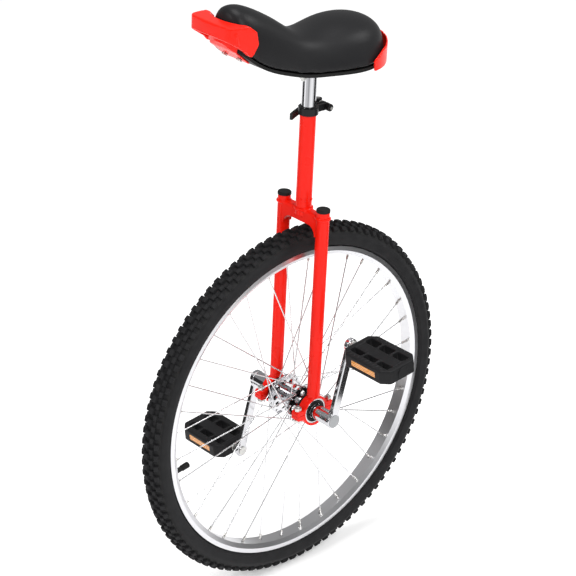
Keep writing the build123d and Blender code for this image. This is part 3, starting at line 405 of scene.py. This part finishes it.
def buildTyre():
    low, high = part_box("tyre")
    outer = high.x
    half = high.y
    core = outer - half  # centre of the round casing, from the axle
    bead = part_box("rim")[1].x - tyre["beadDepth"]
    bm = bmesh.new()
    casing = half - tyre["treadDepth"]
    bulge = half - tyre["sidewallSkin"] - casing
    start = tyre["sidewallFrom"]
    profile = [(math.radians(a), casing + bulge * max(0.0, (abs(a) - start) / (90 - start)) ** 0.5)
               for a in range(-90, 91, 6)]
    outside = [(r * math.sin(a), core + r * math.cos(a)) for a, r in profile]
    beadHalf = tyre["beadHalf"]
    beadInner = beadHalf - tyre["beadWidth"]
    foot = [(half - 0.0035, core - 0.0100), (beadHalf + 0.002, bead + 0.0105), (beadHalf, bead + 0.008),
            (beadHalf, bead)]
    inner = [(beadInner, bead), (beadInner, bead + 0.011), (half - 0.0075, core - 0.008),
             (half - 0.0045, core), (half - 0.0095, core + 0.0115), (0.0, core + half - 0.0078)]
    right = foot + inner
    left = [(-y, r) for y, r in reversed(right[:-1])]
    section = outside + right + left
    verts = [bm.verts.new((0, y, axleHeight + r)) for y, r in section]
    edges = [bm.edges.new((verts[i], verts[(i + 1) % len(verts)])) for i in range(len(verts))]
    bmesh.ops.spin(bm, geom=verts + edges, cent=(0, 0, axleHeight), axis=(0, 1, 0), angle=2 * math.pi,
                   steps=tyre["roundSteps"], use_merge=True)
    blocks = bmesh.new()
    centre, middle, shoulder = zip(tyre["blockAngles"], tyre["blockShifts"], tyre["blockDrops"])
    treadBlock(blocks, tyre["centreBlock"], centre[0], centre[1], core, half - centre[2])
    for side in (1, -1):
        for size, (angle, shift, drop) in ((tyre["middleBlock"], middle), (tyre["shoulderBlock"], shoulder)):
            treadBlock(blocks, size, side * angle, shift, core, half - drop)
    steps = tyre["knobPitches"] - 1
    everything = blocks.verts[:] + blocks.edges[:] + blocks.faces[:]
    bmesh.ops.spin(blocks, geom=everything, cent=(0, 0, axleHeight), axis=(0, 1, 0),
                   angle=2 * math.pi * steps / tyre["knobPitches"], steps=steps, use_duplicate=True)
    bmesh.ops.recalc_face_normals(blocks, faces=blocks.faces)
    blockMesh = bpy.data.meshes.new("treadBlocks")
    blocks.to_mesh(blockMesh)
    blocks.free()
    bm.from_mesh(blockMesh)
    bpy.data.meshes.remove(blockMesh)
    piece = newPiece("knobblyTyre", bm, "tyre", "wheel", ["tyre"])
    piece.data.set_sharp_from_angle(angle=math.radians(tyre["sharpFrom"]))
    return piece


buildTyre()
print("tyre done")


# saddle cushion: foam swollen under its vinyl cover
cushion = {
    "voxel": 0.005,
    "inset": 0.0016,
    "rounds": 3,
    "undersideSlope": -0.35,
    "bumperReach": (0.012, 0.008),  # along the saddle, upwards
    "pressure": 4.0,
    "frames": 20,
    "cap": 0.005,
    "fill": 0.85,
}


def nearBumpers(point):
    along, upward = cushion["bumperReach"]
    for nodeName in ("front_handle", "rear_bumper"):
        low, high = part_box(nodeName)
        if low.x - along < point.x < high.x + along and point.z < high.z + upward:
            return True
    return False


def buildCushion():
    bm = copyOfNode("saddle_cushion")
    bmesh.ops.recalc_face_normals(bm, faces=bm.faces)
    bm.normal_update()
    bm = remeshed(bm, cushion["voxel"])
    bm.normal_update()
    for vert in bm.verts:
        vert.co -= vert.normal * cushion["inset"]
    relax(bm, cushion["rounds"])
    slope = cushion["undersideSlope"]
    underside = [vert.index for vert in bm.verts if vert.normal.z < slope or nearBumpers(vert.co)]
    piece = newPiece("saddleCushion", bm, "vinyl_black", "seat", ["saddle_cushion"])
    held = piece.vertex_groups.new(name="held")
    held.add(underside, 1.0, "REPLACE")
    cloth = piece.modifiers.new("cloth", "CLOTH")
    cloth.settings.use_pressure = True
    cloth.settings.uniform_pressure_force = cushion["pressure"]
    cloth.settings.vertex_group_mass = "held"
    cloth.settings.effector_weights.gravity = 0.0
    cloth.point_cache.frame_end = cushion["frames"]
    start = [vert.co.copy() for vert in piece.data.vertices]
    for number in range(1, cushion["frames"] + 1):
        bpy.context.scene.frame_set(number)
    graph = bpy.context.evaluated_depsgraph_get()
    settled = piece.evaluated_get(graph).to_mesh()
    moved = [vert.co.copy() for vert in settled.vertices]
    piece.modifiers.remove(cloth)
    for vert, before, after in zip(piece.data.vertices, start, moved):
        step = after - before
        if step.length > cushion["cap"]:
            step *= cushion["cap"] / step.length
        vert.co = before + step
    piece.vertex_groups.clear()
    bpy.context.scene.frame_set(1)
    smooth = piece.modifiers.new("smooth", "SUBSURF")
    smooth.levels = 1
    smooth.render_levels = 1
    return piece


buildCushion()
print("cushion done")


# bumpers: moulded shells with rounded edges
bumper = {
    "voxel": 0.0011,
    "rounds": 4,
    "rib": ((0.1835, 0.0450, 0.9335), (0.1865, 0.0487, 0.9505)),
    "ribLean": 14.0,
}


def buildHandle():
    bm = copyOfNode("front_handle")
    low, high = (Vector(corner) for corner in bumper["rib"])
    middle = (low + high) / 2
    for side in (1, -1):
        turn = Matrix.Scale(side, 4, (0, 1, 0)) @ Matrix.Translation(middle)
        turn = turn @ Matrix.Rotation(math.radians(bumper["ribLean"]), 4, "Y") @ Matrix.Translation(-middle)
        block(bm, low, high, turn)
    bmesh.ops.recalc_face_normals(bm, faces=bm.faces)
    bm = softened(bm, bumper["voxel"], bumper["rounds"])
    return newPiece("frontHandleShell", bm, "bumper_red", "seat", ["front_handle"])


def buildRearBumper():
    bm = softened(copyOfNode("rear_bumper"), bumper["voxel"], bumper["rounds"])
    return newPiece("rearBumperShell", bm, "bumper_red", "seat", ["rear_bumper"])


buildHandle()
buildRearBumper()
print("bumpers done")


# crown with its weld beads
crown = {
    "voxel": 0.0009,
    "rounds": 4,
    "legBead": 0.0022,
    "tubeBead": 0.0026,
    "legBeadGap": 0.0003,
    "tubeBeadGap": 0.0004,
    "legBeadDrop": 0.0035,  # below the top of the crown
}


def buildCrown():
    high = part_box("crown")[1]
    bm = copyOfNode("crown")
    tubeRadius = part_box("seat_tube")[1].x
    place = Matrix.Translation((0, 0, high.z))
    ringBead(bm, tubeRadius + crown["tubeBeadGap"], crown["tubeBead"], place)
    for nodeName in ("left_leg", "right_leg"):
        legLow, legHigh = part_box(nodeName)
        legRadius = legHigh.x
        middle = (legLow.y + legHigh.y) / 2
        place = Matrix.Translation((0, middle, high.z - crown["legBeadDrop"]))
        ringBead(bm, legRadius + crown["legBeadGap"], crown["legBead"], place)
    shell = softened(bm, crown["voxel"], crown["rounds"])
    return newPiece("weldedCrown", shell, "frame_red", "frame", ["crown"])


buildCrown()
print("crown done")


# pedals: moulded bodies with rows of grip teeth
pedal = {
    "tilt": 8.0,
    "voxel": 0.00115,
    "rounds": 3,
    "halfWidth": 0.035,
    "halfHeight": 0.0118,
    "rail": 0.012,
    "tooth": 0.0026,
    "toothPitch": 0.0078,
    "toothBase": 1.3,  # share of the tooth's size
    "toothTip": 0.6,
    "toothHeight": 0.0022,
    "toothLift": 0.0001,
    "endMargin": 0.016,
}


def buildPedal(word):
    bodyName = word + "_pedal"
    spindleLow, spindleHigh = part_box(word + "_pedal_spindle")
    centre = Vector(((spindleLow.x + spindleHigh.x) / 2, 0, (spindleLow.z + spindleHigh.z) / 2))
    low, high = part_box(word + "_pedal_body")
    turn = Matrix.Translation(centre) @ Matrix.Rotation(math.radians(pedal["tilt"]), 4, "Y")
    bm = copyOfNode(word + "_pedal_body")
    start, end = low.y + pedal["endMargin"], high.y - pedal["endMargin"]
    count = int((end - start) / pedal["toothPitch"])
    for face in (1, -1):
        for railSide in (1, -1):
            for index in range(count + 1):
                y = start + (end - start) * index / count
                x = railSide * (pedal["halfWidth"] - pedal["rail"] / 2)
                place = turn @ Matrix.Translation((x, y, face * (pedal["halfHeight"] + pedal["toothLift"])))
                bmesh.ops.create_cone(bm, cap_ends=True, segments=4,
                                      radius1=pedal["tooth"] * pedal["toothBase"],
                                      radius2=pedal["tooth"] * pedal["toothTip"], depth=pedal["toothHeight"],
                                      matrix=place @ Matrix.Rotation(math.pi * (face < 0), 4, "X"))
    shell = softened(bm, pedal["voxel"], pedal["rounds"])
    return newPiece(word + "PedalBody", shell, "pedal_black", bodyName, [word + "_pedal_body"])


buildPedal("left")
buildPedal("right")
print("pedals done")


# seals that close the two bearings
seal = {
    "gap": 0.0003,
    "thickness": 0.0006,
    "outerWall": 0.0024,
    "outerFit": 0.0001,
    "sunk": 0.0004,
    "bevel": (0.0012, 0.0002),  # across, deep
    "rings": 56,
}


def buildSeal(side, word):
    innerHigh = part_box(word + "_inner_race")[1]
    outerLow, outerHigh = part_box(word + "_outer_race")
    inside = innerHigh.x + seal["gap"]
    outside = outerHigh.x - seal["outerWall"] - seal["outerFit"]
    across, deep = seal["bevel"]
    face = outerHigh.y if side > 0 else outerLow.y
    near = face - side * seal["sunk"]
    far = near - side * seal["thickness"]
    bm = bmesh.new()
    section = ((inside, near), (outside - across, near), (outside, near - side * deep), (outside, far),
               (inside, far))
    verts = [bm.verts.new((radius, y, axleHeight)) for radius, y in section]
    edges = [bm.edges.new((verts[i], verts[(i + 1) % len(verts)])) for i in range(len(verts))]
    bmesh.ops.spin(bm, geom=verts + edges, cent=(0, 0, axleHeight), axis=(0, 1, 0), angle=2 * math.pi,
                   steps=seal["rings"], use_merge=True)
    return newPiece(word + "BearingSeal", bm, "shield_rubber", "frame")


buildSeal(1, "left")
buildSeal(-1, "right")
print("seals done")


# floor, lights and camera
studio = {
    "floorHalf": 9.0,
    "floorColor": (0.93, 0.93, 0.93),
    "floorGlow": 0.30,
    "worldStrength": 0.36,
    "lights": (
        # place, size, watts
        ((1.2, 3.9, 3.6), 1.6, 85.0),
        ((3.9, -0.9, 2.8), 1.4, 45.0),
        ((-2.6, 1.8, 3.4), 1.6, 60.0),
        ((0.2, 0.0, 4.8), 2.6, 120.0),
    ),
    "cards": (
        # place, half width: far ones for the rim, near low ones for the upright chrome
        ((3.2, 3.0, 0.4), 1.0),
        ((-0.6, 3.8, 1.0), 0.7),
        ((4.2, 0.9, 1.2), 0.6),
        ((-0.63, 0.41, 0.26), 0.32),
        ((0.46, -0.60, 0.26), 0.32),
        ((0.78, -0.06, 0.20), 0.12),
    ),
    "aim": (0.0, 0.0, 0.5),
}


def facing(place, aim):
    return (Vector(aim) - Vector(place)).to_track_quat("-Z", "Y").to_matrix().to_4x4()


def plainMaterial(name, color, roughness, glow=0.0):
    constants = {"Emission Color": (*color, 1.0), "Emission Strength": glow}
    finish = Finish(name, color, roughness, 0.0, constants)
    finish.feed("Roughness", roughness - 0.05 + finish.noise(3.0, 2.0) * 0.1)
    return finish.material


def buildStudio():
    bm = bmesh.new()
    bmesh.ops.create_grid(bm, x_segments=2, y_segments=2, size=studio["floorHalf"])
    mesh = bpy.data.meshes.new("floor")
    bm.to_mesh(mesh)
    bm.free()
    floor = bpy.data.objects.new("floor", mesh)
    bpy.context.scene.collection.objects.link(floor)
    mesh.materials.append(plainMaterial("paleFloor", studio["floorColor"], 0.9, studio["floorGlow"]))
    darkCard = plainMaterial("darkCard", (0.02, 0.02, 0.02), 0.9)
    for number, (place, half) in enumerate(studio["cards"]):
        bm = bmesh.new()
        bmesh.ops.create_grid(bm, x_segments=1, y_segments=1, size=half)
        stand = Matrix.Translation(place) @ facing(place, studio["aim"])
        bmesh.ops.transform(bm, matrix=stand, verts=bm.verts)
        mesh = bpy.data.meshes.new(f"card{number}")
        bm.to_mesh(mesh)
        bm.free()
        card = bpy.data.objects.new(f"card{number}", mesh)
        bpy.context.scene.collection.objects.link(card)
        mesh.materials.append(darkCard)
        card.visible_camera = False
        card.visible_diffuse = False
        card.visible_shadow = False
    for number, (place, size, watts) in enumerate(studio["lights"]):
        data = bpy.data.lights.new(f"softbox{number}", "AREA")
        data.shape = "DISK"
        data.size = size
        data.energy = watts
        light = bpy.data.objects.new(f"softbox{number}", data)
        bpy.context.scene.collection.objects.link(light)
        light.matrix_world = Matrix.Translation(place) @ facing(place, studio["aim"])
    world = bpy.data.worlds.new("studioWorld")
    world.use_nodes = True
    background = world.node_tree.nodes["Background"]
    background.inputs["Color"].default_value = (1.0, 1.0, 1.0, 1.0)
    background.inputs["Strength"].default_value = studio["worldStrength"]
    bpy.context.scene.world = world
    bpy.context.scene.view_settings.view_transform = "Standard"


viewpoint = {
    "azimuth": 137.22,
    "elevation": 25.28,
    "roll": 2.69,
    "distance": 3.116,
    "targetHeight": 0.4935,
    "sideways": -0.0177,
    "lens": 125.8,
}


def buildCamera():
    around = math.radians(viewpoint["azimuth"])
    rise = math.radians(viewpoint["elevation"])
    back = Vector((math.sin(around) * math.cos(rise), -math.cos(around) * math.cos(rise), math.sin(rise)))
    right = Vector((0, 0, 1)).cross(back).normalized()
    up = back.cross(right)
    target = Vector((0, 0, viewpoint["targetHeight"]))
    place = target + right * viewpoint["sideways"] + back * viewpoint["distance"]
    turn = Matrix((right, up, back)).transposed().to_4x4()
    data = bpy.data.cameras.new("camera")
    data.lens = viewpoint["lens"]
    data.sensor_width = 36.0
    data.clip_start = 0.05
    data.clip_end = 60.0
    camera = bpy.data.objects.new("camera", data)
    bpy.context.scene.collection.objects.link(camera)
    roll = Matrix.Rotation(math.radians(viewpoint["roll"]), 4, "Z")
    camera.matrix_world = Matrix.Translation(place) @ turn @ roll
    bpy.context.scene.camera = camera


buildStudio()
buildCamera()
print("studio done")
